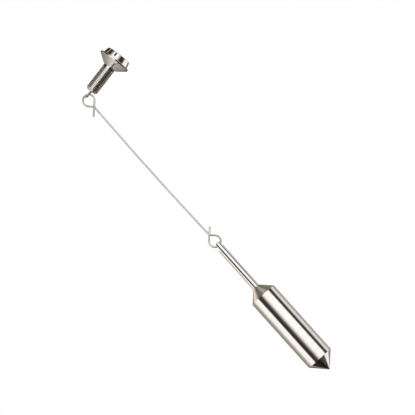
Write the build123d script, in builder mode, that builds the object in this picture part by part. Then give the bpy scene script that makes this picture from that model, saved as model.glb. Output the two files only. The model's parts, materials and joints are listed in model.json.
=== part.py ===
from build123d import *

import os
from math import cos, radians, sin, sqrt, tan

os.makedirs("parts", exist_ok=True)

# A plumb bob that hangs on a stiff wire from the eye of its suspension screw.
#
# Frame: the origin is on the screw's axis where the thread meets the small end of the seat
# cone. +Z is up along the plumb line, and everything lies about the XZ plane. The screw's
# head points towards +X and a little upwards, its eye towards -X. The wire and the bob hang
# plumb below the eye.

# Suspension screw: slotted drum head, plain shoulder, fine thread
thread_d = 8.0
thread_length = 18.3  # from the seat cone to the end face
thread_end_chamfer = 1.2
shoulder_step = 0.25  # the shoulder is this much larger than the thread, on the radius
head_base_d = 17.7
head_top_d = 15.8
head_height = 4.1
head_edge_r = 0.45
head_foot_chamfer = 0.3
slot_width = 1.0
slot_depth = 2.8
slot_turn = 6.0  # degrees from the Y axis, about the screw's axis
screw_rise = 11.0  # degrees from the X axis up to the head

# Seat washer: thin flange with a conical seat under it
flange_d = 21.0
flange_thickness = 0.95
flange_edge = 0.12
seat_height = 4.1
seat_end_wall = 0.2  # wall at the small end of the cone

# Wire eye: a staple with both legs set in the end of the screw and a straight bar across
eye_wire_d = 1.0
eye_reach = 4.75  # from the screw's end face to the bar's centre
eye_corner_r = 1.0
eye_leg_depth = 4.0
eye_side_play = 0.6  # room on each side of the hanger wire

# Hanger wire: one stiff wire, with a loop at each end that crosses it and ends in a tail
hanger_wire_d = 1.2
loop_r = 3.5  # to the wire's centre
loop_spacing = 113.4  # between the centres of the two loops
neck_bend_r = 1.8
corner_share = 0.998  # of loop_r in the loop's rounded corners, which leaves a trace of straight
crossing_gap = 0.15  # between the wire and its own tail
upper_tail = 6.3  # from the crossing to the cut end
lower_tail = 5.3
wire_bow = 0.6  # how far the long run bows sideways at its middle
bow_share = 0.9  # of the long run that is curved

# Stem: round rod with a flatted, cross-drilled top end and a threaded spigot
stem_d = 4.6
stem_length = 35.0
stem_top_r = 0.6
stem_hole_countersink = 0.6
stem_hole_play = 0.17  # above the loop's wire where it leaves the hole's mouth
stem_end_wall = 0.45  # above the hole
stem_flat_offset = 0.9  # from the rod's axis to the flat
stem_flat_length = 2.4  # from the top end to where the flat begins to run out
stem_cutter_r = 2.2
spigot_d = 4.0
spigot_length = 7.0
spigot_chamfer = 0.5

# Bob body: cylinder, conical shoulder and plumb point, turned in one piece
body_d = 17.4
body_length = 50.4
shoulder_angle = 90.0  # included
shoulder_land = 0.2  # flat ring round the stem
point_angle = 90.0  # included
edge_break = 0.15
spigot_hole_extra = 1.5  # depth below the spigot

# Clearance between a wire loop and the piece that hangs on it or carries it
hang_clearance = 0.08

# The screw's own directions
along_screw = Vector(cos(radians(screw_rise)), 0, sin(radians(screw_rise)))
across_screw = Vector(-sin(radians(screw_rise)), 0, cos(radians(screw_rise)))
across_y = Vector(0, 1, 0)
screw_axis = Axis((0, 0, 0), along_screw)
screw_profile = Plane(origin=(0, 0, 0), x_dir=across_screw, z_dir=across_y)
screw_end = along_screw * -thread_length

# Where the pieces hang
shoulder_d = thread_d + 2 * shoulder_step
eye_half_width = (hanger_wire_d + eye_wire_d) / 2 + eye_side_play  # to a leg's centre
eye_bar = along_screw * -(thread_length + eye_reach)
eye_to_loop = loop_r - (hanger_wire_d + eye_wire_d) / 2 - hang_clearance
upper_loop_z = eye_bar.Z - eye_to_loop
lower_loop_z = upper_loop_z - loop_spacing
stem_hole_z = lower_loop_z - loop_r
loop_inner_r = loop_r - hanger_wire_d / 2
wire_top = loop_r - sqrt(loop_inner_r**2 - (stem_d / 2) ** 2)  # at the mouth, above the hole's axis
stem_hole_r = wire_top + stem_hole_play - stem_hole_countersink
stem_top_z = stem_hole_z + stem_hole_r + stem_end_wall
stem_foot_z = stem_top_z - stem_length
land_r = stem_d / 2 + shoulder_land
shoulder_height = (body_d / 2 - land_r) / tan(radians(shoulder_angle / 2))
body_top_z = stem_foot_z - shoulder_height
body_foot_z = body_top_z - body_length
point_z = body_foot_z - body_d / 2 / tan(radians(point_angle / 2))
plumb = Plane(origin=(eye_bar.X, 0, 0), x_dir=(1, 0, 0), z_dir=(0, -1, 0))
plumb_axis = Axis((eye_bar.X, 0, 0), (0, 0, 1))


def make_suspension_screw():
    """Drum head, shoulder and thread in one turned piece, with the driver slot and leg holes."""
    seat_top = seat_height + flange_thickness
    head_top = seat_top + head_height
    with BuildPart() as screw:
        with BuildSketch(screw_profile):
            with BuildLine():
                Polyline(
                    (0, -thread_length),
                    (thread_d / 2 - thread_end_chamfer, -thread_length),
                    (thread_d / 2, thread_end_chamfer - thread_length),
                    (thread_d / 2, 0),
                    (shoulder_d / 2, 0),
                    (shoulder_d / 2, seat_top),
                    (head_base_d / 2 - head_foot_chamfer, seat_top),
                    (head_base_d / 2, seat_top + head_foot_chamfer),
                    (head_top_d / 2, head_top),
                    (0, head_top),
                    close=True,
                )
            make_face()
        revolve(axis=screw_axis)
        top_rim = screw.edges().filter_by(GeomType.CIRCLE).sort_by(screw_axis)[-1]
        fillet(top_rim, head_edge_r)
        slot_plane = Plane(
            origin=along_screw * head_top,
            x_dir=across_screw.rotate(screw_axis, 90 - slot_turn),
            z_dir=along_screw,
        )
        with BuildSketch(slot_plane):
            Rectangle(2 * head_base_d, slot_width)
        extrude(amount=-slot_depth, mode=Mode.SUBTRACT)
        with Locations(Plane(origin=screw_end, x_dir=across_y, z_dir=-along_screw)):
            with Locations((-eye_half_width, 0), (eye_half_width, 0)):
                Hole(eye_wire_d / 2, depth=eye_leg_depth)
    return screw


def make_seat_washer():
    """Thin flange with the conical seat under it, bored to the screw's shoulder."""
    bore_r = shoulder_d / 2
    seat_end_r = bore_r + seat_end_wall
    flange_top = seat_height + flange_thickness
    with BuildPart() as washer:
        with BuildSketch(screw_profile):
            with BuildLine():
                Polyline(
                    (bore_r, 0),
                    (seat_end_r, 0),
                    (flange_d / 2 - flange_edge, seat_height),
                    (flange_d / 2, seat_height + flange_edge),
                    (flange_d / 2, flange_top - flange_edge),
                    (flange_d / 2 - flange_edge, flange_top),
                    (bore_r, flange_top),
                    close=True,
                )
            make_face()
        revolve(axis=screw_axis)
    return washer


def make_wire_eye():
    """A staple of round wire: two legs set in the screw's end, and the bar the hanger rides on."""
    with BuildPart() as eye:
        with BuildLine(Plane(origin=screw_end, x_dir=across_y, z_dir=across_screw)) as path:
            FilletPolyline(
                (-eye_half_width, -eye_leg_depth),
                (-eye_half_width, eye_reach),
                (eye_half_width, eye_reach),
                (eye_half_width, -eye_leg_depth),
                radius=eye_corner_r,
            )
        with BuildSketch(path.line ^ 0):
            Circle(eye_wire_d / 2)
        sweep(path=path.line)
    return eye


def loop_corners(centre_z, tail_length):
    """Corners of the wire at one end: its tail, round the loop, and the neck on the plumb line.

    The loop is a square on its point whose three outer corners are rounded to the loop's own
    radius. The square's last side runs on past the neck as the tail, on the -Y side of the
    wire that it crosses.
    """
    half_diagonal = loop_r * sqrt(2)
    neck_z = centre_z - half_diagonal
    aside = (hanger_wire_d + crossing_gap) / 2
    tail_run = tail_length / sqrt(2)
    return [
        (-tail_run, neck_z - tail_run, aside * (1 + tail_run / half_diagonal)),
        (half_diagonal, centre_z, 0),
        (0, centre_z + half_diagonal, 0),
        (-half_diagonal, centre_z, 0),
        (0, neck_z, -aside),
    ]


def make_hanger_wire():
    """The whole hanger: the lower end has the same loop the other way up, crossed on the +Y side."""
    middle = Plane(
        origin=(eye_bar.X, 0, (upper_loop_z + lower_loop_z) / 2), x_dir=plumb.x_dir, z_dir=plumb.z_dir
    )
    upper = loop_corners(loop_spacing / 2, upper_tail)
    lower = [(-x, -z, -y) for x, z, y in reversed(loop_corners(loop_spacing / 2, lower_tail))]
    half_run = loop_spacing / 2 - loop_r * sqrt(2)
    bow_peak = wire_bow / (1 - bow_share / 2)  # where the run's two straight ends would meet
    bow_r = bow_share * half_run**2 / bow_peak
    loop_bend_r = loop_r * corner_share
    end_radii = [loop_bend_r, loop_bend_r, loop_bend_r, neck_bend_r]
    with BuildPart() as hanger:
        with BuildLine(middle) as path:
            FilletPolyline(
                *upper, (-bow_peak, 0, 0), *lower, radius=end_radii + [bow_r] + end_radii[::-1]
            )
        with BuildSketch(path.line ^ 0):
            Circle(hanger_wire_d / 2)
        sweep(path=path.line)
    return hanger


def make_stem():
    """Round rod: top end flatted on one side and drilled across for the hanger, spigot below."""
    with BuildPart() as stem:
        with BuildSketch(plumb):
            with BuildLine():
                Polyline(
                    (0, stem_foot_z - spigot_length),
                    (spigot_d / 2 - spigot_chamfer, stem_foot_z - spigot_length),
                    (spigot_d / 2, stem_foot_z - spigot_length + spigot_chamfer),
                    (spigot_d / 2, stem_foot_z),
                    (stem_d / 2, stem_foot_z),
                    (stem_d / 2, stem_top_z),
                    (0, stem_top_z),
                    close=True,
                )
            make_face()
        revolve(axis=plumb_axis)
        fillet(stem.edges().filter_by(GeomType.CIRCLE).sort_by(Axis.Z)[-1], stem_top_r)

        # the flat, cut from the -X side, with the cutter's radius where it runs out
        flat_end_z = stem_top_z - stem_flat_length
        outside_x = -stem_flat_offset - stem_cutter_r
        with BuildSketch(plumb):
            with BuildLine():
                Polyline(
                    (outside_x, flat_end_z - stem_cutter_r),
                    (outside_x, stem_top_z),
                    (-stem_flat_offset, stem_top_z),
                    (-stem_flat_offset, flat_end_z),
                )
                RadiusArc(
                    (-stem_flat_offset, flat_end_z),
                    (outside_x, flat_end_z - stem_cutter_r),
                    stem_cutter_r,
                )
            make_face()
        extrude(amount=stem_d, both=True, mode=Mode.SUBTRACT)

        # the cross hole, countersunk where the wire leaves it on either side
        for mouth_x, outward in ((-stem_flat_offset, -1), (stem_d / 2, 1)):
            mouth = Plane(
                origin=(eye_bar.X + mouth_x, 0, stem_hole_z), x_dir=(0, 1, 0), z_dir=(outward, 0, 0)
            )
            with Locations(mouth):
                CounterSinkHole(
                    radius=stem_hole_r,
                    counter_sink_radius=stem_hole_r + stem_hole_countersink,
                    counter_sink_angle=90,
                )
    return stem


def make_bob_body():
    """Cylinder, conical shoulder and plumb point, with the blind hole for the stem's spigot."""
    with BuildPart() as body:
        with BuildSketch(plumb):
            with BuildLine():
                Polyline(
                    (0, point_z),
                    (body_d / 2, body_foot_z),
                    (body_d / 2, body_top_z),
                    (land_r, stem_foot_z),
                    (0, stem_foot_z),
                    close=True,
                )
            make_face()
        revolve(axis=plumb_axis)
        rims = body.edges().filter_by(GeomType.CIRCLE).sort_by(Axis.Z)[:2]
        fillet(rims, edge_break)
        with Locations(Plane(origin=(eye_bar.X, 0, stem_foot_z))):
            Hole(spigot_d / 2, depth=spigot_length + spigot_hole_extra)
    return body


makers = {
    "suspension_screw": make_suspension_screw,
    "seat_washer": make_seat_washer,
    "wire_eye": make_wire_eye,
    "hanger_wire": make_hanger_wire,
    "stem": make_stem,
    "bob_body": make_bob_body,
}
for name, make in makers.items():
    piece = make()
    piece.part.label = name
    export_step(piece.part, f"parts/{name}.step")

print(f"eye bar x {eye_bar.X:.3f} z {eye_bar.Z:.3f}, stem hole z {stem_hole_z:.3f}, point z {point_z:.3f}")
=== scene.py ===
import json
from math import ceil, cos, pi, radians, sin, sqrt, tan

import bmesh
import bpy
from mathutils import Matrix, Vector


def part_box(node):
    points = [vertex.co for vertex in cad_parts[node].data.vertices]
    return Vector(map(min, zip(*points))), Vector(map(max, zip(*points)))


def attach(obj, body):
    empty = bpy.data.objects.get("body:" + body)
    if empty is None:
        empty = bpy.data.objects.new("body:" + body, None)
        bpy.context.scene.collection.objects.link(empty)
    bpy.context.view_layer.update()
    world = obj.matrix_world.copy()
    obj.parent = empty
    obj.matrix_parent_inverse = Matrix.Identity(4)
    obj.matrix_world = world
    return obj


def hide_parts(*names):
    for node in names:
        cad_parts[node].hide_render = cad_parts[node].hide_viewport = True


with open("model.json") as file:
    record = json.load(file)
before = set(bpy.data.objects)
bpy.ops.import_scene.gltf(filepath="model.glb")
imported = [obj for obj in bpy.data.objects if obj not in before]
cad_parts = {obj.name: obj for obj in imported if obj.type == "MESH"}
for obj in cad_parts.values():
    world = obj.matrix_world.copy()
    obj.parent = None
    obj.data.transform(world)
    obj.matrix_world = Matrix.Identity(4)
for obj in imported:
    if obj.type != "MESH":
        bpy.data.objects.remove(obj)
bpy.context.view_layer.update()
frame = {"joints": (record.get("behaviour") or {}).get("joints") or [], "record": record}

mm = 0.001

# ---------------------------------------------------------------- sizes
# Corners too small to measure, broken so that they catch the light
screw_corner_r = 0.06 * mm
plumb_corner_r = 0.04 * mm
slot_edge_break = 0.07 * mm
hole_edge_break = 0.05 * mm
cutter_extra = 1.0 * mm  # how far a cutter stands out of the metal

# Suspension screw, measured along its own axis from where the thread meets the seat
thread_r = 4.0 * mm
thread_length = 18.3 * mm
thread_pitch = 1.0 * mm
thread_depth = 0.16 * mm
thread_plain = 2.8 * mm  # left unthreaded next to the seat
thread_end_chamfer = 1.2 * mm
shoulder_r = 4.25 * mm
head_base_r = 8.85 * mm
head_top_r = 7.9 * mm
head_height = 4.1 * mm
head_edge_r = 0.45 * mm
head_foot_chamfer = 0.3 * mm
slot_width = 1.0 * mm
slot_depth = 2.8 * mm
slot_corner_r = 0.12 * mm
slot_turn = radians(6)

# Seat washer
flange_r = 10.5 * mm
flange_thickness = 0.95 * mm
flange_edge = 0.12 * mm
seat_height = 4.1 * mm
seat_end_r = 4.45 * mm
seat_top = seat_height + flange_thickness
head_top = seat_top + head_height

# Wire eye
eye_wire_r = 0.5 * mm
eye_half_width = 1.7 * mm
eye_corner_r = 1.0 * mm
eye_leg_depth = 4.0 * mm
eye_end_round = 0.1 * mm

# Hanger wire
hanger_r = 0.6 * mm
hanger_end_round = 0.18 * mm
loop_r = 3.5 * mm
neck_bend_r = 1.8 * mm
crossing_gap = 0.15 * mm
upper_tail = 6.3 * mm
lower_tail = 5.3 * mm
wire_bow = 0.6 * mm
bow_share = 0.9  # of the run between the loops
hang_clearance = 0.08 * mm

# Stem
stem_top_r = 0.6 * mm
stem_end_wall = 0.45 * mm
stem_hole_countersink = 0.6 * mm
stem_flat_offset = 0.9 * mm
stem_flat_length = 2.4 * mm
stem_cutter_r = 2.2 * mm
spigot_r = 2.0 * mm
spigot_chamfer = 0.5 * mm

# Bob body
shoulder_land = 0.2 * mm
edge_break = 0.15 * mm
point_r = 0.12 * mm
spigot_hole_extra = 1.5 * mm

# ---------------------------------------------------------------- places, from the frame
joints = {joint["name"]: joint for joint in frame["joints"]}
eye_bar = Vector(joints["wire_swing"]["pos_m"])
stem_hole = Vector(joints["bob_swing"]["pos_m"])
mounts = {mount["name"]: mount for mount in frame["record"]["mounts"]}
along_screw = -Vector(mounts["screw_thread"]["axis"])
across_screw = Vector((-along_screw.z, 0, along_screw.x))
screw_place = Matrix((across_screw, along_screw.cross(across_screw), along_screw)).transposed().to_4x4()
plumb_place = Matrix.Translation((stem_hole.x, 0, 0))

stem_low, stem_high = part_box("stem")
body_low, body_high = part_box("bob_body")
stem_r = (stem_high.x - stem_low.x) / 2
stem_foot_z = body_high.z
body_r = body_high.y
body_cone = body_r  # a point of 90 degrees is as tall as its own radius
body_foot_z = body_low.z + body_cone
land_r = stem_r + shoulder_land
body_top_z = stem_foot_z - (body_r - land_r)
upper_loop_z = eye_bar.z - (loop_r - hanger_r - eye_wire_r - hang_clearance)
lower_loop_z = stem_hole.z + loop_r


# ---------------------------------------------------------------- node helpers
def feed(tree, socket, value):
    """Links a socket to another node's output, or sets it to a constant."""
    if isinstance(value, bpy.types.NodeSocket):
        tree.links.new(value, socket)
    else:
        socket.default_value = value


def add(tree, kind, settings=(), **inputs):
    """Adds a node with its settings, and its inputs by socket name."""
    made = tree.nodes.new(kind)
    for name, value in dict(settings).items():
        setattr(made, name, value)
    for name, value in inputs.items():
        feed(tree, made.inputs[name.replace("_", " ")], value)
    return made


def calc(tree, operation, *values, clamp=False):
    """One step of arithmetic on numbers."""
    made = add(tree, "ShaderNodeMath", {"operation": operation, "use_clamp": clamp})
    for socket, value in zip(made.inputs, values):
        feed(tree, socket, value)
    return made.outputs[0]


def vector_calc(tree, operation, *values):
    """One step of arithmetic on vectors."""
    made = add(tree, "ShaderNodeVectorMath", {"operation": operation})
    for socket, value in zip(made.inputs, values):
        feed(tree, socket, value)
    return made.outputs["Value" if operation in ("LENGTH", "DOT_PRODUCT") else "Vector"]


def fitted(tree, value, low, high, to_low=0.0, to_high=1.0, way="LINEAR"):
    """Carries a value from one range to another and holds it at the ends."""
    made = add(tree, "ShaderNodeMapRange", {"interpolation_type": way})
    for socket, number in zip(made.inputs, (value, low, high, to_low, to_high)):
        feed(tree, socket, number)
    return made.outputs["Result"]


def mixed(tree, share, a, b):
    """Goes from colour a to colour b by a share."""
    made = add(tree, "ShaderNodeMix", {"data_type": "RGBA"})
    for index, value in ((0, share), (6, a), (7, b)):
        feed(tree, made.inputs[index], value)
    return made.outputs[2]


def ramp(tree, value, stops):
    """A colour ramp with stops of (place, colour)."""
    made = add(tree, "ShaderNodeValToRGB", Fac=value)
    elements = made.color_ramp.elements
    elements.remove(elements[1])
    elements[0].position = stops[0][0]
    for place, _ in stops[1:]:
        elements.new(place)
    for element, (_, colour) in zip(elements, stops):
        element.color = (*colour, 1)
    return made.outputs["Color"]


def new_group(kind, name, inputs, outputs):
    """A node group with typed, named sockets. Returns the tree, its inputs and its output node."""
    tree = bpy.data.node_groups.new(name, kind)
    for socket_name, socket_kind, default in inputs:
        socket = tree.interface.new_socket(socket_name, in_out="INPUT", socket_type=socket_kind)
        if default is not None:
            socket.default_value = default
    for socket_name, socket_kind in outputs:
        tree.interface.new_socket(socket_name, in_out="OUTPUT", socket_type=socket_kind)
    return tree, tree.nodes.new("NodeGroupInput").outputs, tree.nodes.new("NodeGroupOutput")


def use_group(tree, group, **inputs):
    """Places a shader node group in a material and returns its outputs."""
    return add(tree, "ShaderNodeGroup", {"node_tree": group}, **inputs).outputs


# ---------------------------------------------------------------- mesh helpers
def outline(*points):
    """Corners of a turned profile, from (radius, height)."""
    return [Vector((r, 0, z)) for r, z in points]


def rounded(corners, radii, turn_step=radians(9)):
    """Points along straight runs joined by tangent arcs, one radius for each inner corner.

    Where one arc runs straight into the next, the point that they share is kept once.
    """
    points = [corners[0].copy()]
    for before, corner, after, radius in zip(corners, corners[1:], corners[2:], radii):
        arrive = (corner - before).normalized()
        leave = (after - corner).normalized()
        turn = arrive.angle(leave)
        if radius == 0 or turn < radians(0.01):
            points.append(corner.copy())
            continue
        axis = arrive.cross(leave).normalized()
        start = corner - arrive * radius * tan(turn / 2)
        centre = start + axis.cross(arrive) * radius
        steps = max(3, ceil(turn / turn_step))
        for step in range(steps + 1):
            points.append(centre + Matrix.Rotation(turn * step / steps, 3, axis) @ (start - centre))
    points.append(corners[-1].copy())
    near = 0.001 * mm
    apart = [point for before, point in zip(points, points[1:]) if (point - before).length > near]
    return points[:1] + apart


def object_from(name, made):
    """Makes an object from a bmesh, with outward normals and smooth faces."""
    bmesh.ops.remove_doubles(made, verts=made.verts, dist=1e-7)
    bmesh.ops.recalc_face_normals(made, faces=made.faces)
    mesh = bpy.data.meshes.new(name)
    made.to_mesh(mesh)
    made.free()
    mesh.shade_smooth()
    piece = bpy.data.objects.new(name, mesh)
    bpy.context.scene.collection.objects.link(piece)
    return piece


def lathe(name, profile, sides=192, ring=False):
    """A closed turned solid about Z: a profile that starts and ends on the axis, or a ring."""
    made = bmesh.new()
    angles = [2 * pi * side / sides for side in range(sides)]
    rows = []
    for point in profile:
        if point.x < 1e-8:
            rows.append([made.verts.new((0, 0, point.z))])
        else:
            rows.append([made.verts.new((point.x * cos(a), point.x * sin(a), point.z)) for a in angles])
    followers = rows[1:] + rows[:1] if ring else rows[1:]
    for row, follower in zip(rows, followers):
        for side in range(sides):
            beside = (side + 1) % sides
            corners = [row[side % len(row)], row[beside % len(row)]]
            corners += [follower[beside % len(follower)], follower[side % len(follower)]]
            made.faces.new(list(dict.fromkeys(corners)))
    return object_from(name, made)


def prism(name, corners, depth):
    """A closed straight solid: corners in the XZ plane, carried to both sides along Y."""
    made = bmesh.new()
    near = [made.verts.new((corner.x, -depth, corner.z)) for corner in corners]
    far = [made.verts.new((corner.x, depth, corner.z)) for corner in corners]
    made.faces.new(near)
    made.faces.new(far[::-1])
    for index in range(len(corners)):
        beside = (index + 1) % len(corners)
        made.faces.new((near[beside], near[index], far[index], far[beside]))
    return object_from(name, made)


def settle(piece):
    """Turns a piece's modifiers into plain mesh."""
    shapes = bpy.context.evaluated_depsgraph_get()
    mesh = bpy.data.meshes.new_from_object(
        piece.evaluated_get(shapes), preserve_all_data_layers=True, depsgraph=shapes
    )
    piece.modifiers.clear()
    piece.data = mesh
    return piece


def cut_away(piece, *cutters):
    """Cuts closed solids out of a piece and removes them."""
    for cutter in cutters:
        cut = piece.modifiers.new("cut", "BOOLEAN")
        cut.operation = "DIFFERENCE"
        cut.solver = "EXACT"
        cut.object = cutter
    settle(piece)
    for cutter in cutters:
        bpy.data.objects.remove(cutter)


def soften(piece, width=0.0):
    """Breaks sharp edges by a small width, and lets the large faces set the shading."""
    if width:
        broken = piece.modifiers.new("broken edges", "BEVEL")
        broken.width = width
        broken.segments = 3
        broken.limit_method = "ANGLE"
        broken.angle_limit = radians(35)
        broken.use_clamp_overlap = True
    weighted = piece.modifiers.new("face weights", "WEIGHTED_NORMAL")
    weighted.weight = 60
    return settle(piece)


def run_tree(source, tree, **inputs):
    """Runs a Geometry Nodes tree on an object, with its inputs by name, and returns the plain mesh."""
    maker = source.modifiers.new(tree.name, "NODES")
    maker.node_group = tree
    sockets = {item.name: item.identifier for item in tree.interface.items_tree if item.in_out == "INPUT"}
    for name, value in inputs.items():
        maker[sockets[name.replace("_", " ")]] = value
    bpy.context.view_layer.update()
    shapes = bpy.context.evaluated_depsgraph_get()
    mesh = bpy.data.meshes.new_from_object(source.evaluated_get(shapes), depsgraph=shapes)
    bpy.data.objects.remove(source)
    return mesh


def fit_out(piece, place, body, slot, material, *stands_for):
    """Puts a finished piece in its place, on its body, with its finish."""
    piece.data.transform(place)
    piece.data.materials.clear()
    piece.data.materials.append(material)
    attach(piece, body)
    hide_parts(*stands_for)


# ---------------------------------------------------------------- shared effects for the steels
def make_turning_marks():
    """Fine rings left by the lathe: they change along the axis and the radius, and wander a little."""
    tree, given, out = new_group(
        "ShaderNodeTree",
        "turning_marks",
        [
            ("Vector", "NodeSocketVector", None),
            ("Spacing", "NodeSocketFloat", 0.0002),
            ("Wander", "NodeSocketFloat", 0.1),
        ],
        [("Height", "NodeSocketFloat"), ("Band", "NodeSocketFloat")],
    )
    parts = add(tree, "ShaderNodeSeparateXYZ", Vector=given["Vector"]).outputs
    radius = calc(tree, "SQRT", calc(tree, "ADD", calc(tree, "POWER", parts["X"], 2.0),
                                     calc(tree, "POWER", parts["Y"], 2.0)))
    radial = calc(tree, "MULTIPLY", radius, 1.37)  # not one, or a 45 degree cone would have no rings
    place = calc(tree, "ADD", parts["Z"], radial)
    frequency = calc(tree, "DIVIDE", 1.0, given["Spacing"])
    drift = add(tree, "ShaderNodeTexNoise", Vector=given["Vector"], Scale=180.0, Detail=1.0).outputs["Fac"]
    drift = calc(tree, "MULTIPLY", calc(tree, "SUBTRACT", drift, 0.5), given["Wander"])
    turns = calc(tree, "ADD", calc(tree, "MULTIPLY", place, frequency), drift)
    fine = add(tree, "ShaderNodeTexNoise", {"noise_dimensions": "1D"}, W=turns, Scale=1.0, Detail=3.0)
    slow = calc(tree, "MULTIPLY", turns, 0.07)
    band = add(tree, "ShaderNodeTexNoise", {"noise_dimensions": "1D"}, W=slow, Scale=1.0, Detail=2.0)
    feed(tree, out.inputs["Height"], fine.outputs["Fac"])
    feed(tree, out.inputs["Band"], band.outputs["Fac"])
    return tree


def make_handling_marks():
    """Soft smudges, and hair scratches that run in patches."""
    tree, given, out = new_group(
        "ShaderNodeTree",
        "handling_marks",
        [
            ("Vector", "NodeSocketVector", None),
            ("Smudge Size", "NodeSocketFloat", 0.006),
            ("Scratch Size", "NodeSocketFloat", 0.002),
        ],
        [("Smudge", "NodeSocketFloat"), ("Scratch", "NodeSocketFloat")],
    )
    smudge_scale = calc(tree, "DIVIDE", 1.0, given["Smudge Size"])
    smudge = add(tree, "ShaderNodeTexNoise", Vector=given["Vector"], Scale=smudge_scale, Detail=4.0)
    soft = fitted(tree, smudge.outputs["Fac"], 0.42, 0.68, way="SMOOTHSTEP")
    turned = add(tree, "ShaderNodeMapping", Vector=given["Vector"], Rotation=(0.5, 0.9, 0.3),
                 Scale=(1.0, 1.0, 0.09))
    scratch_scale = calc(tree, "DIVIDE", 1.0, given["Scratch Size"])
    lines = add(tree, "ShaderNodeTexNoise", Vector=turned.outputs["Vector"], Scale=scratch_scale, Detail=1.0)
    off_line = calc(tree, "ABSOLUTE", calc(tree, "SUBTRACT", lines.outputs["Fac"], 0.5))
    hair = fitted(tree, off_line, 0.0, 0.006, 1.0, 0.0)
    patch = add(tree, "ShaderNodeTexNoise", Vector=given["Vector"], Scale=340.0, Detail=1.0)
    where = fitted(tree, patch.outputs["Fac"], 0.5, 0.62)
    feed(tree, out.inputs["Smudge"], soft)
    feed(tree, out.inputs["Scratch"], calc(tree, "MULTIPLY", hair, where))
    return tree


def make_edge_shine():
    """A mask that is one along worn edges and fades within a small width."""
    tree, given, out = new_group(
        "ShaderNodeTree",
        "edge_shine",
        [("Vector", "NodeSocketVector", None), ("Gain", "NodeSocketFloat", 4.0)],
        [("Edge", "NodeSocketFloat")],
    )
    spread = add(tree, "ShaderNodeBevel", {"samples": 4}, Radius=0.00018)
    facing = add(tree, "ShaderNodeNewGeometry").outputs["Normal"]
    agree = vector_calc(tree, "DOT_PRODUCT", spread.outputs["Normal"], facing)
    edge = calc(tree, "MULTIPLY", calc(tree, "SUBTRACT", 1.0, agree), given["Gain"], clamp=True)
    patch = add(tree, "ShaderNodeTexNoise", Vector=given["Vector"], Scale=900.0, Detail=2.0)
    uneven = fitted(tree, patch.outputs["Fac"], 0.3, 0.6, 0.35, 1.0)
    feed(tree, out.inputs["Edge"], calc(tree, "MULTIPLY", edge, uneven))
    return tree


turning_marks = make_turning_marks()
handling_marks = make_handling_marks()
edge_shine = make_edge_shine()


# ---------------------------------------------------------------- the steels
def new_material(name):
    """An empty material with a Principled shader of bare metal."""
    material = bpy.data.materials.new(name)
    material.use_nodes = True
    tree = material.node_tree
    tree.nodes.clear()
    shader = add(tree, "ShaderNodeBsdfPrincipled")
    shader.inputs["Metallic"].default_value = 1.0
    surface = add(tree, "ShaderNodeOutputMaterial")
    tree.links.new(shader.outputs["BSDF"], surface.inputs["Surface"])
    return material, tree, shader


def own_axis(tree, place):
    """Object coordinates turned so that Z runs along the piece's own axis, from its origin."""
    here = add(tree, "ShaderNodeTexCoord").outputs["Object"]
    back = place.inverted()
    mapped = add(tree, "ShaderNodeMapping", {"vector_type": "POINT"}, Vector=here)
    mapped.inputs["Location"].default_value = back.to_translation()
    mapped.inputs["Rotation"].default_value = back.to_euler()
    return mapped.outputs["Vector"]


def slot_shade_faces(tree, where):
    """A mask of the driver slot's own faces, where shade is painted in, from coordinates on the screw's
    axis.
    """
    across = (cos(slot_turn), -sin(slot_turn), 0)
    aside = calc(tree, "ABSOLUTE", vector_calc(tree, "DOT_PRODUCT", where, across))
    height = add(tree, "ShaderNodeSeparateXYZ", Vector=where).outputs["Z"]
    skin = 0.02 * mm
    inside = calc(tree, "LESS_THAN", aside, slot_width / 2 + skin)
    return calc(tree, "MULTIPLY", inside, calc(tree, "GREATER_THAN", height, head_top - slot_depth - skin))


def turned_steel(name, place, bright, dull, rough, rough_spread, spacing, mark_height, painted_shade=None):
    """Polished turned steel: lathe rings, smudges, hair scratches and brighter worn edges.

    A function can be given that masks faces in a recess. These faces get painted shade, a dark colour, and
    are made rough.
    """
    material, tree, shader = new_material(name)
    where = own_axis(tree, place)
    marks = use_group(tree, turning_marks, Vector=where, Spacing=spacing)
    handled = use_group(tree, handling_marks, Vector=where)
    edge = use_group(tree, edge_shine, Vector=where)["Edge"]
    toned = mixed(tree, fitted(tree, marks["Band"], 0.35, 0.65), (*dull, 1), (*bright, 1))
    shine = tuple(min(1.0, part * 1.06) for part in bright)
    toned = mixed(tree, calc(tree, "MULTIPLY", handled["Smudge"], 0.25), toned, (*dull, 1))
    toned = mixed(tree, edge, toned, (*shine, 1))
    ringed = fitted(tree, marks["Height"], 0.3, 0.7, rough, rough + rough_spread)
    smudged = calc(tree, "MULTIPLY", handled["Smudge"], rough_spread)
    scratched = calc(tree, "MULTIPLY", handled["Scratch"], 3 * rough_spread)
    rough_here = calc(tree, "ADD", calc(tree, "ADD", ringed, smudged), scratched)
    rough_here = calc(tree, "SUBTRACT", rough_here, calc(tree, "MULTIPLY", edge, rough * 0.4))
    if painted_shade:
        # Painted shade: the masked faces take a dark colour in place of the steel's own.
        shaded_face = painted_shade(tree, where)
        toned = mixed(tree, shaded_face, toned, (*slot_shade_colour, 1))
        rough_here = fitted(tree, shaded_face, 0.0, 1.0, rough_here, 0.5)
    feed(tree, shader.inputs["Base Color"], toned)
    feed(tree, shader.inputs["Roughness"], rough_here)
    rings = add(tree, "ShaderNodeBump", Strength=1.0, Distance=mark_height, Height=marks["Height"])
    hairs = add(tree, "ShaderNodeBump", {"invert": True}, Strength=0.5, Distance=mark_height,
                Height=handled["Scratch"], Normal=rings.outputs["Normal"])
    feed(tree, shader.inputs["Normal"], hairs.outputs["Normal"])
    return material


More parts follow.
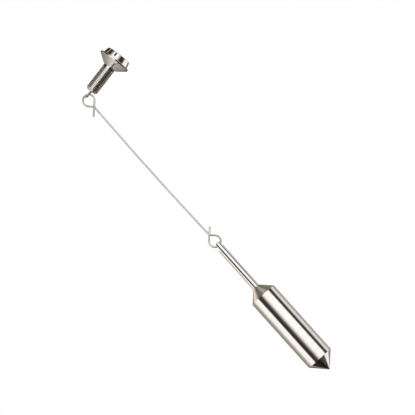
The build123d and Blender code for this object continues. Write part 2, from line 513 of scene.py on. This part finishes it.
def threaded_steel(name, place):
    """Rolled thread: bright crests, painted shade in the roots and a little grit."""
    material, tree, shader = new_material(name)
    where = own_axis(tree, place)
    handled = use_group(tree, handling_marks, Vector=where)
    parts = add(tree, "ShaderNodeSeparateXYZ", Vector=where).outputs
    flat = add(tree, "ShaderNodeCombineXYZ", X=parts["X"], Y=parts["Y"], Z=0.0).outputs["Vector"]
    radius = vector_calc(tree, "LENGTH", flat)
    crest = fitted(tree, radius, thread_r - thread_depth, thread_r, way="SMOOTHSTEP")
    grit = add(tree, "ShaderNodeTexNoise", Vector=where, Scale=2600.0, Detail=4.0).outputs["Fac"]
    bright = mixed(tree, fitted(tree, grit, 0.35, 0.7), (0.86, 0.83, 0.795, 1), (0.77, 0.735, 0.69, 1))
    # Painted shade: the roots get a darker colour than the crests, varied by the smudges.
    root_shade = mixed(tree, handled["Smudge"], (0.55, 0.515, 0.475, 1), (0.44, 0.41, 0.375, 1))
    feed(tree, shader.inputs["Base Color"], mixed(tree, crest, root_shade, bright))
    rough = fitted(tree, crest, 0.0, 1.0, 0.17, 0.05)
    feed(tree, shader.inputs["Roughness"], calc(tree, "ADD", rough, fitted(tree, grit, 0.3, 0.8, 0.0, 0.05)))
    rolled = add(tree, "ShaderNodeBump", Strength=0.4, Distance=0.000003, Height=grit)
    feed(tree, shader.inputs["Normal"], rolled.outputs["Normal"])
    return material


def drawn_steel(name, bright, dull):
    """Drawn spring wire: fine lines along the wire, with slow changes of tone."""
    material, tree, shader = new_material(name)
    section = add(tree, "ShaderNodeAttribute", {"attribute_name": "section"}).outputs["Vector"]
    along = add(tree, "ShaderNodeAttribute", {"attribute_name": "along"}).outputs["Fac"]
    along_scale = 90.0
    round_scale = 6000.0
    reach = add(tree, "ShaderNodeCombineXYZ", X=0.0, Y=0.0, Z=calc(tree, "MULTIPLY", along, along_scale))
    around = vector_calc(tree, "MULTIPLY", section, (round_scale, round_scale, 0.0))
    grain_place = vector_calc(tree, "ADD", around, reach.outputs["Vector"])
    grain = add(tree, "ShaderNodeTexNoise", Vector=grain_place, Scale=1.0, Detail=4.0).outputs["Fac"]
    here = add(tree, "ShaderNodeTexCoord").outputs["Object"]
    handled = use_group(tree, handling_marks, Vector=here, Smudge_Size=0.004)
    toned = mixed(tree, fitted(tree, grain, 0.35, 0.65), (*dull, 1), (*bright, 1))
    toned = mixed(tree, calc(tree, "MULTIPLY", handled["Smudge"], 0.4), toned, (*dull, 1))
    feed(tree, shader.inputs["Base Color"], toned)
    rough = fitted(tree, grain, 0.3, 0.7, 0.045, 0.09)
    rough = calc(tree, "ADD", rough, calc(tree, "MULTIPLY", handled["Smudge"], 0.03))
    feed(tree, shader.inputs["Roughness"], rough)
    lines = add(tree, "ShaderNodeBump", Strength=0.4, Distance=0.000002, Height=grain)
    feed(tree, shader.inputs["Normal"], lines.outputs["Normal"])
    return material


steel_bright = (0.83, 0.812, 0.785)
steel_dull = (0.78, 0.76, 0.73)
# Painted shade for the inside of the driver slot.
slot_shade_colour = (0.2, 0.19, 0.175)
bob_steel = turned_steel(
    "bob_steel", plumb_place, steel_bright, steel_dull,
    rough=0.055, rough_spread=0.02, spacing=0.00018, mark_height=0.0000012,
)
stem_steel = turned_steel(
    "stem_steel", plumb_place, steel_bright, steel_dull,
    rough=0.04, rough_spread=0.02, spacing=0.00012, mark_height=0.0000006,
)
head_steel = turned_steel(
    "head_steel", screw_place, steel_bright, steel_dull,
    rough=0.05, rough_spread=0.03, spacing=0.00016, mark_height=0.0000012, painted_shade=slot_shade_faces,
)
washer_steel = turned_steel(
    "washer_steel", screw_place, (0.84, 0.82, 0.785), (0.78, 0.76, 0.72),
    rough=0.05, rough_spread=0.03, spacing=0.0002, mark_height=0.0000012,
)
thread_steel = threaded_steel("thread_steel", screw_place)
wire_steel = drawn_steel("wire_steel", (0.85, 0.835, 0.815), (0.78, 0.76, 0.735))


# ---------------------------------------------------------------- Geometry Nodes: wire and thread
def make_wire_tree():
    """Sweeps round wire along a curve, thinned where the curve's own radius says so."""
    tree, given, out = new_group(
        "GeometryNodeTree",
        "round_wire",
        [
            ("Geometry", "NodeSocketGeometry", None),
            ("Wire Radius", "NodeSocketFloat", 0.0005),
            ("Sides", "NodeSocketInt", 32),
            ("Finish", "NodeSocketMaterial", None),
        ],
        [("Geometry", "NodeSocketGeometry")],
    )
    circle = add(tree, "GeometryNodeCurvePrimitiveCircle", Resolution=given["Sides"],
                 Radius=given["Wire Radius"])
    place = add(tree, "GeometryNodeInputPosition").outputs["Position"]
    section = add(tree, "GeometryNodeStoreNamedAttribute", {"data_type": "FLOAT_VECTOR"},
                  Geometry=circle.outputs["Curve"], Name="section", Value=place)
    length = add(tree, "GeometryNodeSplineParameter").outputs["Length"]
    path = add(tree, "GeometryNodeStoreNamedAttribute", {"data_type": "FLOAT"},
               Geometry=given["Geometry"], Name="along", Value=length)
    thinning = add(tree, "GeometryNodeInputRadius").outputs["Radius"]
    swept = add(tree, "GeometryNodeCurveToMesh", Curve=path.outputs["Geometry"],
                Profile_Curve=section.outputs["Geometry"], Scale=thinning, Fill_Caps=True)
    smooth = add(tree, "GeometryNodeSetShadeSmooth", Geometry=swept.outputs["Mesh"])
    real = add(tree, "GeometryNodeRealizeInstances", Geometry=smooth.outputs["Geometry"])
    finished = add(tree, "GeometryNodeSetMaterial", Geometry=real.outputs["Geometry"],
                   Material=given["Finish"])
    feed(tree, out.inputs["Geometry"], finished.outputs["Geometry"])
    return tree


def wrap_thread(tree, given, bottom):
    """Wraps a flat grid into the threaded surface, from the origin down to the bottom height.

    Rows of the grid follow the helix, so crests and roots are clean lines. The groove runs out
    over the plain length at the top, and the lower end is chamfered.
    """
    columns = calc(tree, "ADD", given["Sides"], 1.0)
    rows = calc(tree, "ADD", calc(tree, "MULTIPLY", given["Turns"], given["Rows Per Turn"]), 1.0)
    sheet = add(tree, "GeometryNodeMeshGrid", Size_X=1.0, Size_Y=1.0, Vertices_X=columns, Vertices_Y=rows)
    here = add(tree, "GeometryNodeInputPosition").outputs["Position"]
    place = add(tree, "ShaderNodeSeparateXYZ", Vector=here)
    round_share = calc(tree, "ADD", place.outputs["X"], 0.5)
    turn = calc(tree, "MULTIPLY", calc(tree, "ADD", place.outputs["Y"], 0.5), given["Turns"])
    climb = calc(tree, "SUBTRACT", calc(tree, "ADD", turn, round_share), 1.0)
    free_height = calc(tree, "SUBTRACT", calc(tree, "MULTIPLY", climb, given["Pitch"]), given["Length"])
    height = calc(tree, "MAXIMUM", calc(tree, "MINIMUM", free_height, 0.0), bottom)
    phase = calc(tree, "FRACT", turn)
    off_crest = calc(tree, "ABSOLUTE", calc(tree, "SUBTRACT", calc(tree, "MULTIPLY", phase, 2.0), 1.0))
    groove = fitted(tree, off_crest, 0.62, 0.98, way="SMOOTHSTEP")
    fade = fitted(tree, height, calc(tree, "MULTIPLY", given["Plain Length"], -1.0),
                  calc(tree, "MULTIPLY", given["Plain Length"], -0.6), 1.0, 0.0)
    cut = calc(tree, "MULTIPLY", calc(tree, "MULTIPLY", groove, fade), given["Depth"])
    chamfer = calc(tree, "ADD", calc(tree, "SUBTRACT", given["Radius"], given["End Chamfer"]),
                   calc(tree, "ADD", height, given["Length"]))
    radius = calc(tree, "MINIMUM", calc(tree, "SUBTRACT", given["Radius"], cut), chamfer)
    angle = calc(tree, "MULTIPLY", round_share, 2 * pi)
    wrapped_x = calc(tree, "MULTIPLY", calc(tree, "COSINE", angle), radius)
    wrapped_y = calc(tree, "MULTIPLY", calc(tree, "SINE", angle), radius)
    wrapped = add(tree, "ShaderNodeCombineXYZ", X=wrapped_x, Y=wrapped_y, Z=height)
    shank = add(tree, "GeometryNodeSetPosition", Geometry=sheet.outputs["Mesh"],
                Position=wrapped.outputs["Vector"])
    return shank.outputs["Geometry"]


def make_thread_tree():
    """A helical vee thread on a round core, down the -Z axis from the origin, closed at both ends."""
    tree, given, out = new_group(
        "GeometryNodeTree",
        "helical_thread",
        [
            ("Geometry", "NodeSocketGeometry", None),
            ("Radius", "NodeSocketFloat", 0.004),
            ("Depth", "NodeSocketFloat", 0.0006),
            ("Pitch", "NodeSocketFloat", 0.001),
            ("Length", "NodeSocketFloat", 0.02),
            ("Plain Length", "NodeSocketFloat", 0.002),
            ("End Chamfer", "NodeSocketFloat", 0.001),
            ("Turns", "NodeSocketInt", 20),
            ("Rows Per Turn", "NodeSocketInt", 16),
            ("Sides", "NodeSocketInt", 96),
            ("Finish", "NodeSocketMaterial", None),
        ],
        [("Geometry", "NodeSocketGeometry")],
    )
    bottom = calc(tree, "MULTIPLY", given["Length"], -1.0)
    joined = add(tree, "GeometryNodeJoinGeometry")
    tree.links.new(wrap_thread(tree, given, bottom), joined.inputs[0])
    end_radius = calc(tree, "SUBTRACT", given["Radius"], given["End Chamfer"])
    for radius_here, height_here in ((end_radius, bottom), (given["Radius"], 0.0)):
        disc = add(tree, "GeometryNodeMeshCircle", {"fill_type": "TRIANGLE_FAN"}, Vertices=given["Sides"],
                   Radius=radius_here)
        lift = add(tree, "ShaderNodeCombineXYZ", X=0.0, Y=0.0, Z=height_here)
        lid = add(tree, "GeometryNodeTransform", Geometry=disc.outputs["Mesh"],
                  Translation=lift.outputs["Vector"])
        tree.links.new(lid.outputs["Geometry"], joined.inputs[0])
    welded = add(tree, "GeometryNodeMergeByDistance", Geometry=joined.outputs["Geometry"], Distance=0.000002)
    real = add(tree, "GeometryNodeRealizeInstances", Geometry=welded.outputs["Geometry"])
    finished = add(tree, "GeometryNodeSetMaterial", Geometry=real.outputs["Geometry"],
                   Material=given["Finish"])
    feed(tree, out.inputs["Geometry"], finished.outputs["Geometry"])
    return tree


round_wire = make_wire_tree()
helical_thread = make_thread_tree()


def wire_along(name, points, radius, material, end_round):
    """Round wire along points, with its cut ends rounded over."""
    first = (points[1] - points[0]).normalized()
    last = (points[-2] - points[-1]).normalized()
    sweep = [(1 - cos(radians(a)), sin(radians(a))) for a in (15, 40, 65, 90)]
    start = [(points[0] + first * end_round * reach, wide) for reach, wide in sweep]
    end = [(points[-1] + last * end_round * reach, wide) for reach, wide in sweep]
    narrow = radius - end_round
    knots = start + [(point, 1.0) for point in points[1:-1]] + end[::-1]
    curve = bpy.data.curves.new(name, "CURVE")
    curve.dimensions = "3D"
    spline = curve.splines.new("POLY")
    spline.points.add(len(knots) - 1)
    for knot, (point, wide) in zip(spline.points, knots):
        knot.co = (*point, 1)
        knot.radius = (narrow + wide * end_round) / radius
    source = bpy.data.objects.new(name + " path", curve)
    bpy.context.scene.collection.objects.link(source)
    mesh = run_tree(source, round_wire, Wire_Radius=radius, Sides=32, Finish=material)
    made = bmesh.new()
    made.from_mesh(mesh)
    return object_from(name, made)


# ---------------------------------------------------------------- the pieces
def make_screw_head():
    """Drum head with its driver slot, on the plain shoulder that the washer sits on."""
    corners = outline(
        (0, 0),
        (shoulder_r, 0),
        (shoulder_r, seat_top),
        (head_base_r - head_foot_chamfer, seat_top),
        (head_base_r, seat_top + head_foot_chamfer),
        (head_top_r, head_top),
        (0, head_top),
    )
    head = lathe("screw_head", rounded(corners, [screw_corner_r] * 4 + [head_edge_r]))
    half = slot_width / 2
    low = head_top - slot_depth
    high = head_top + slot_depth
    sides = outline((-half, high), (-half, low), (half, low), (half, high))
    section = rounded(sides, [slot_corner_r, slot_corner_r], radians(30))
    slot = prism("slot cutter", section, head_base_r + cutter_extra)
    slot.data.transform(Matrix.Rotation(-slot_turn, 4, "Z"))
    cut_away(head, slot)
    return soften(head, slot_edge_break)


def make_screw_thread():
    """The threaded shank, with two blind holes in its end for the legs of the eye."""
    seed = bpy.data.objects.new("thread seed", bpy.data.meshes.new("thread seed"))
    bpy.context.scene.collection.objects.link(seed)
    mesh = run_tree(
        seed,
        helical_thread,
        Radius=thread_r,
        Depth=thread_depth,
        Pitch=thread_pitch,
        Length=thread_length,
        Plain_Length=thread_plain,
        End_Chamfer=thread_end_chamfer,
        Turns=ceil(thread_length / thread_pitch) + 1,
        Rows_Per_Turn=16,
        Sides=96,
        Finish=thread_steel,
    )
    made = bmesh.new()
    made.from_mesh(mesh)
    thread = object_from("screw_thread", made)
    hole_end = eye_leg_depth - thread_length
    outside = -thread_length - eye_leg_depth
    bit = outline((0, outside), (eye_wire_r, outside), (eye_wire_r, hole_end), (0, hole_end))
    drills = []
    for side in (-1, 1):
        drill = lathe("leg drill", bit, 48)
        drill.data.transform(Matrix.Translation((0, side * eye_half_width, 0)))
        drills.append(drill)
    cut_away(thread, *drills)
    return soften(thread)


def make_washer():
    """Thin flange over the conical seat, as one turned ring."""
    corners = outline(
        (shoulder_r, seat_top / 2),
        (shoulder_r, 0),
        (seat_end_r, 0),
        (flange_r - flange_edge, seat_height),
        (flange_r, seat_height + flange_edge),
        (flange_r, seat_top - flange_edge),
        (flange_r - flange_edge, seat_top),
        (shoulder_r, seat_top),
        (shoulder_r, seat_top / 2),
    )
    ring = rounded(corners, [screw_corner_r] * 7)
    return soften(lathe("washer_and_seat", ring[:-1], ring=True))


def make_eye():
    """The staple: two legs in the end of the screw and the bar between them."""
    leg_end = eye_leg_depth - thread_length
    bar = eye_bar.dot(along_screw)
    corners = [
        Vector((0, -eye_half_width, leg_end)),
        Vector((0, -eye_half_width, bar)),
        Vector((0, eye_half_width, bar)),
        Vector((0, eye_half_width, leg_end)),
    ]
    path = rounded(corners, [eye_corner_r, eye_corner_r], radians(5))
    return wire_along("eye_staple", path, eye_wire_r, wire_steel, eye_end_round)


def loop_corners(centre_z, tail_length):
    """Corners of the wire at one end: its tail, round the loop, and the neck on the plumb line.

    The loop is a square on its point. Its last side runs on past the neck as the tail, on the
    near side of the wire that it crosses.
    """
    half_diagonal = loop_r * sqrt(2)
    neck_z = centre_z - half_diagonal
    aside = hanger_r + crossing_gap / 2
    tail_run = tail_length / sqrt(2)
    return [
        Vector((-tail_run, -aside * (1 + tail_run / half_diagonal), neck_z - tail_run)),
        Vector((half_diagonal, 0, centre_z)),
        Vector((0, 0, centre_z + half_diagonal)),
        Vector((-half_diagonal, 0, centre_z)),
        Vector((0, aside, neck_z)),
    ]


def make_hanger():
    """The hanger wire: its lower end has the same loop the other way up, crossed on the far side."""
    half_spacing = (upper_loop_z - lower_loop_z) / 2
    upper = loop_corners(half_spacing, upper_tail)
    lower = [-corner for corner in reversed(loop_corners(half_spacing, lower_tail))]
    half_run = half_spacing - loop_r * sqrt(2)
    bow_peak = wire_bow / (1 - bow_share / 2)
    bow_r = bow_share * half_run**2 / bow_peak
    end_radii = [loop_r, loop_r, loop_r, neck_bend_r]
    corners = upper + [Vector((-bow_peak, 0, 0))] + lower
    path = rounded(corners, end_radii + [bow_r] + end_radii[::-1], radians(4))
    return wire_along("looped_wire", path, hanger_r, wire_steel, hanger_end_round)


def make_stem():
    """The rod: a flat and a countersunk cross hole at its top end, and its spigot below."""
    corners = outline(
        (0, stem_low.z),
        (spigot_r - spigot_chamfer, stem_low.z),
        (spigot_r, stem_low.z + spigot_chamfer),
        (spigot_r, stem_foot_z),
        (stem_r, stem_foot_z),
        (stem_r, stem_high.z),
        (0, stem_high.z),
    )
    profile = rounded(corners, [plumb_corner_r] * 4 + [stem_top_r], radians(7))
    stem = lathe("stem_rod", profile, 144)
    hole_r = stem_high.z - stem_end_wall - stem_hole.z
    flat_end_z = stem_high.z - stem_flat_length
    outside_x = -stem_flat_offset - stem_cutter_r
    flat_corners = outline(
        (outside_x, stem_high.z + stem_cutter_r),
        (outside_x, flat_end_z - stem_cutter_r),
        (-stem_flat_offset, flat_end_z - stem_cutter_r),
        (-stem_flat_offset, stem_high.z + stem_cutter_r),
    )
    sweep = rounded(flat_corners, [0, stem_cutter_r], radians(6))
    flat = prism("flat cutter", sweep, 2 * stem_r)
    mouth_r = hole_r + stem_hole_countersink
    drill = lathe(
        "cross drill",
        outline(
            (0, -stem_flat_offset - cutter_extra),
            (mouth_r + cutter_extra, -stem_flat_offset - cutter_extra),
            (hole_r, -stem_flat_offset + stem_hole_countersink),
            (hole_r, stem_r - stem_hole_countersink),
            (mouth_r + cutter_extra, stem_r + cutter_extra),
            (0, stem_r + cutter_extra),
        ),
        128,
    )
    drill.data.transform(Matrix.Translation((0, 0, stem_hole.z)) @ Matrix.Rotation(pi / 2, 4, "Y"))
    cut_away(stem, flat, drill)
    return soften(stem, hole_edge_break)


def make_bob():
    """The turned weight: point, cylinder and shoulder, with the blind hole for the spigot."""
    hole_end_z = stem_low.z - spigot_hole_extra
    blunt = point_r * tan(radians(22.5)) * 1.001  # a hair over, so that the arc starts off the axis
    corners = outline(
        (0, body_low.z + blunt),
        (blunt, body_low.z + blunt),
        (body_r, body_foot_z),
        (body_r, body_top_z),
        (land_r, stem_foot_z),
        (spigot_r, stem_foot_z),
        (spigot_r, hole_end_z),
        (0, hole_end_z),
    )
    profile = rounded(corners, [point_r, edge_break, edge_break, plumb_corner_r, plumb_corner_r, 0])
    return soften(lathe("plumb_weight", profile, 256))


fit_out(make_screw_head(), screw_place, "screw", "screw_steel", head_steel, "suspension_screw")
fit_out(make_screw_thread(), screw_place, "screw", "screw_steel", thread_steel, "suspension_screw")
fit_out(make_washer(), screw_place, "screw", "washer_steel", washer_steel, "seat_washer")
fit_out(make_eye(), screw_place, "screw", "spring_wire", wire_steel, "wire_eye")
hanger_place = Matrix.Translation((stem_hole.x, 0, (upper_loop_z + lower_loop_z) / 2))
fit_out(make_hanger(), hanger_place, "hanger", "spring_wire", wire_steel, "hanger_wire")
fit_out(make_stem(), plumb_place, "bob", "stem_steel", stem_steel, "stem")
fit_out(make_bob(), plumb_place, "bob", "bob_steel", bob_steel, "bob_body")


# ---------------------------------------------------------------- studio
def warm(level, warmth):
    """A linear tone of the studio, a little warmer as warmth rises."""
    return (level, level * (1 - 0.4 * warmth), level * (1 - warmth))


panel = warm(1.24, 0.015)
flag = (0.045, 0.037, 0.0325)
wall = warm(0.47, 0.13)

# Round the horizon, by bearing in degrees: 0 is the camera's side and 90 is -X
upright_stops = (
    (-180, panel),
    (-166, panel),
    (-163, flag),
    (-154, flag),
    (-151, wall),
    (-130, warm(0.44, 0.12)),
    (-113, warm(0.64, 0.12)),
    (-101, warm(0.98, 0.1)),
    (-90, warm(0.84, 0.1)),
    (-78, warm(0.06, 0.1)),
    (-61, warm(0.05, 0.1)),
    (-51, panel),
    (-8, panel),
    (4, warm(0.96, 0.05)),
    (16, warm(0.28, 0.2)),
    (27, flag),
    (48, flag),
    (57, panel),
    (94, warm(1.12, 0.08)),
    (104, warm(0.72, 0.14)),
    (112, warm(0.47, 0.18)),
    (124, warm(0.39, 0.19)),
    (140, warm(0.36, 0.2)),
    (151, warm(0.33, 0.2)),
    (154, flag),
    (163, flag),
    (166, panel),
    (180, panel),
)

# Overhead and below, by how far the direction leans from -X to +X
overhead_stops = (
    (-0.45, warm(1.0, 0.24)),
    (-0.42, warm(0.8, 0.24)),
    (-0.36, warm(0.38, 0.24)),
    (-0.28, warm(0.21, 0.24)),
    (-0.24, warm(0.18, 0.24)),
    (-0.05, warm(0.165, 0.24)),
    (0.04, warm(0.23, 0.24)),
    (0.18, warm(0.44, 0.24)),
    (0.26, warm(0.49, 0.24)),
    (0.36, warm(0.4, 0.24)),
    (0.45, warm(0.18, 0.24)),
    (0.6, warm(0.3, 0.24)),
)
below_stops = (
    (-0.56, warm(0.33, 0.2)),
    (-0.5, warm(0.04, 0.4)),
    (-0.25, warm(0.015, 0.4)),
    (-0.1, warm(0.018, 0.4)),
    (0.02, warm(0.06, 0.2)),
    (0.26, warm(0.11, 0.2)),
    (0.34, warm(0.12, 0.2)),
    (0.4, warm(1.0, 0.04)),
    (0.46, warm(1.15, 0.02)),
)


def uprights(tree, bearing):
    """The upright panels, flags and walls round the horizon."""
    places = [((angle + 180) / 360, tone) for angle, tone in upright_stops]
    return ramp(tree, fitted(tree, bearing, -pi, pi), places)


def lean_ramp(tree, lean, stops):
    """A ramp from -X to +X, with stops of (lean, colour)."""
    reach = 0.8
    places = [((x + reach) / (2 * reach), tone) for x, tone in stops]
    return ramp(tree, fitted(tree, lean, -reach, reach), places)


def within(tree, value, low, high, soft):
    """One inside a range of a value, falling to nothing over a soft edge."""
    rising = fitted(tree, value, low - soft, low)
    return calc(tree, "MULTIPLY", rising, fitted(tree, value, high, high + soft, 1.0, 0.0))


def low_front_flag(tree, parts, bearing):
    """In front, from the horizon down. It darkens more slowly towards +X."""
    full = calc(tree, "MINIMUM", calc(tree, "MULTIPLY_ADD", parts["X"], -0.45, -0.055), -0.05)
    rising = fitted(tree, bearing, radians(-86), radians(-62))
    falling = fitted(tree, bearing, radians(6), radians(16), 1.0, 0.0)
    across = calc(tree, "MULTIPLY", rising, falling)
    return calc(tree, "MULTIPLY", fitted(tree, parts["Z"], 0.0, full), across)


def side_flag(tree, parts, bearing):
    """On the -X side, well below the horizon."""
    beside = within(tree, bearing, radians(78), radians(104), radians(6))
    return calc(tree, "MULTIPLY", beside, within(tree, parts["Z"], -0.72, -0.39, 0.05))


def wider_flags(tree, parts, bearing):
    """Above the horizon, where the flags at both sides of the front panel are wider."""
    left = within(tree, bearing, radians(21), radians(54), radians(6))
    right = within(tree, bearing, radians(-84), radians(-57), radians(6))
    height = within(tree, parts["Z"], 0.041, 0.4, 0.005)
    return calc(tree, "MULTIPLY", calc(tree, "ADD", left, right), height)


def high_back_flag(tree, parts):
    """Overhead and behind, in the middle."""
    off_middle = calc(tree, "ABSOLUTE", calc(tree, "SUBTRACT", parts["X"], 0.02))
    return calc(tree, "MULTIPLY", fitted(tree, parts["Y"], 0.14, 0.2), fitted(tree, off_middle, 0.24, 0.18))


def studio_tone(tree, parts):
    """What the steel sees in each direction: each tone is laid over the ones before it."""
    black = (*flag, 1)
    bearing = calc(tree, "ARCTAN2", calc(tree, "MULTIPLY", parts["X"], -1.0),
                   calc(tree, "MULTIPLY", parts["Y"], -1.0))
    front = fitted(tree, parts["Y"], 0.045, 0.01)
    high_front = calc(tree, "MULTIPLY", front, fitted(tree, parts["Z"], 0.6, 0.86))
    above = calc(tree, "MULTIPLY", fitted(tree, parts["Z"], 0.45, 0.55), calc(tree, "SUBTRACT", 1.0, front))
    overhead = mixed(tree, high_back_flag(tree, parts), lean_ramp(tree, parts["X"], overhead_stops), black)
    below = lean_ramp(tree, parts["X"], below_stops)
    seen = mixed(tree, side_flag(tree, parts, bearing), uprights(tree, bearing), black)
    seen = mixed(tree, wider_flags(tree, parts, bearing), seen, black)
    seen = mixed(tree, above, seen, overhead)
    seen = mixed(tree, high_front, seen, black)
    seen = mixed(tree, fitted(tree, parts["Z"], -0.64, -0.72), seen, below)
    return mixed(tree, low_front_flag(tree, parts, bearing), seen, black)


def make_world():
    """White to the camera. To the steel it is a studio of upright white panels and black flags."""
    world = bpy.data.worlds.new("studio")
    bpy.context.scene.world = world
    world.use_nodes = True
    tree = world.node_tree
    tree.nodes.clear()
    direction = add(tree, "ShaderNodeTexCoord").outputs["Generated"]
    parts = add(tree, "ShaderNodeSeparateXYZ", Vector=direction).outputs
    to_camera = add(tree, "ShaderNodeLightPath").outputs["Is Camera Ray"]
    tone = mixed(tree, to_camera, studio_tone(tree, parts), (1, 1, 1, 1))
    light = add(tree, "ShaderNodeBackground", Color=tone, Strength=1.0)
    surface = add(tree, "ShaderNodeOutputWorld")
    tree.links.new(light.outputs["Background"], surface.inputs["Surface"])


def make_floor():
    """A plain pale floor well below the bob, white to the camera."""
    half = 1.5
    drop = 1.3
    floor_z = body_low.z - drop
    corners = [(x, y, floor_z) for x, y in ((-half, -half), (half, -half), (half, half), (-half, half))]
    mesh = bpy.data.meshes.new("floor")
    mesh.from_pydata(corners, [], [(0, 1, 2, 3)])
    floor = bpy.data.objects.new("floor", mesh)
    bpy.context.scene.collection.objects.link(floor)
    material = bpy.data.materials.new("floor_paint")
    material.use_nodes = True
    tree = material.node_tree
    tree.nodes.clear()
    paint = add(tree, "ShaderNodeBsdfDiffuse", Color=(0.9, 0.9, 0.9, 1))
    glow = add(tree, "ShaderNodeEmission", Color=(1, 1, 1, 1), Strength=1.0)
    to_camera = add(tree, "ShaderNodeLightPath").outputs["Is Camera Ray"]
    both = add(tree, "ShaderNodeMixShader", Fac=to_camera)
    tree.links.new(paint.outputs["BSDF"], both.inputs[1])
    tree.links.new(glow.outputs["Emission"], both.inputs[2])
    surface = add(tree, "ShaderNodeOutputMaterial")
    tree.links.new(both.outputs["Shader"], surface.inputs["Surface"])
    mesh.materials.append(material)
    floor.visible_glossy = False


def make_camera():
    """A long lens, nearly level and rolled, so that the plumb line falls to the lower right."""
    lens = bpy.data.cameras.new("camera")
    lens.lens = 200
    lens.sensor_width = 36
    camera = bpy.data.objects.new("camera", lens)
    bpy.context.scene.collection.objects.link(camera)
    looking = Vector((0.069, 0.9945, 0.078)).normalized()
    aim = Vector((-0.01244, 0, -0.10213))
    roll = radians(41.9)
    level_right = looking.cross(Vector((0, 0, 1))).normalized()
    right = Matrix.Rotation(roll, 3, looking) @ level_right
    up = right.cross(looking)
    turned = Matrix((right, up, -looking)).transposed().to_4x4()
    distance = 1.374
    camera.matrix_world = Matrix.Translation(aim - looking * distance) @ turned
    bpy.context.scene.camera = camera


make_world()
make_floor()
make_camera()
bpy.context.scene.view_settings.view_transform = "Standard"
